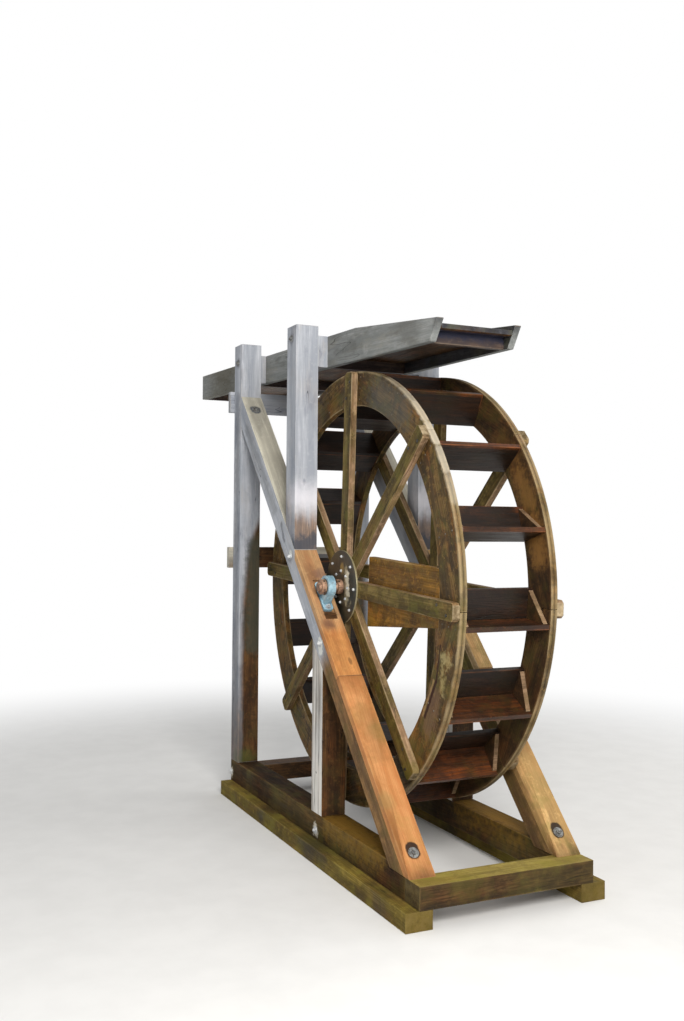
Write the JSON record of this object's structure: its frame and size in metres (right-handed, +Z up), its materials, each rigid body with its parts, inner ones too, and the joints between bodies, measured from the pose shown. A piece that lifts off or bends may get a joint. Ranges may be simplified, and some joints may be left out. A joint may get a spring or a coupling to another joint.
{
  "type": "overshot garden water wheel",
  "caption": "Overshot timber water wheel with buckets between two rings, on a braced timber frame with pillow blocks, fed by an open flume above it.",
  "frame": {"origin": "on the ground under the middle of the whole assembly", "axes": "+X the way the water runs along the flume, +Y along the axle to the far side, +Z up"},
  "size_m": [3.8112, 1.096, 3.0154],
  "materials": {
    "weathered_timber": "silver-grey weathered timber with dark stains",
    "wet_timber": "wet red-brown timber",
    "mossy_timber": "damp timber under moss and algae",
    "fresh_timber": "fresh orange cedar, planed",
    "wheel_timber": "wet olive-brown timber with pale worn edges",
    "bucket_timber": "dark wet timber",
    "rusty_steel": "turned steel under thin rust",
    "dark_steel": "dark brown oxidised steel plate",
    "bearing_paint": "sky-blue enamel, worn at the edges"
  },
  "bodies": {
    "frame": {"sill_near": "wet_timber", "sill_far": "wet_timber", "bearer_near": "mossy_timber", "bearer_far": "mossy_timber", "cross_sill_front": "wet_timber", "cross_sill_rear": "wet_timber", "rear_post_near": "weathered_timber", "rear_post_far": "weathered_timber", "front_post_near": "weathered_timber", "front_post_far": "weathered_timber", "prop_post_near": "wet_timber", "prop_post_far": "wet_timber", "brace_near": "weathered_timber", "brace_far": "weathered_timber", "bearing_plank_near": "fresh_timber", "bearing_plank_far": "fresh_timber", "strut_plank_near": "fresh_timber", "strut_plank_far": "fresh_timber", "packing_near": "fresh_timber", "packing_far": "fresh_timber", "bearing_near": "bearing_paint", "bearing_far": "bearing_paint", "rail_top": "weathered_timber", "rail_middle": "weathered_timber", "flume_side_near": "weathered_timber", "flume_side_far": "weathered_timber", "flume_floor": "wet_timber", "flume_cleats": "weathered_timber", "flume_blocks_near": "weathered_timber", "flume_blocks_far": "weathered_timber"},
    "wheel": {"axle": "rusty_steel", "boss_near": "rusty_steel", "boss_far": "rusty_steel", "lock_collar_near": "rusty_steel", "lock_collar_far": "rusty_steel", "hub_disc_near": "dark_steel", "hub_disc_far": "dark_steel", "ring_near": "wheel_timber", "ring_far": "wheel_timber", "spokes_near": "wheel_timber", "spokes_far": "wheel_timber", "web_plank": "wheel_timber", "paddles": "bucket_timber", "soles": "bucket_timber", "gussets": "bucket_timber"}
  },
  "joints": [
    {"name": "wheel_turn", "type": "hinge", "parent": "frame", "child": "wheel", "pos_m": [0.69442, 0, 1.462], "axis": [0, 1, 0], "continuous": true}
  ]
}
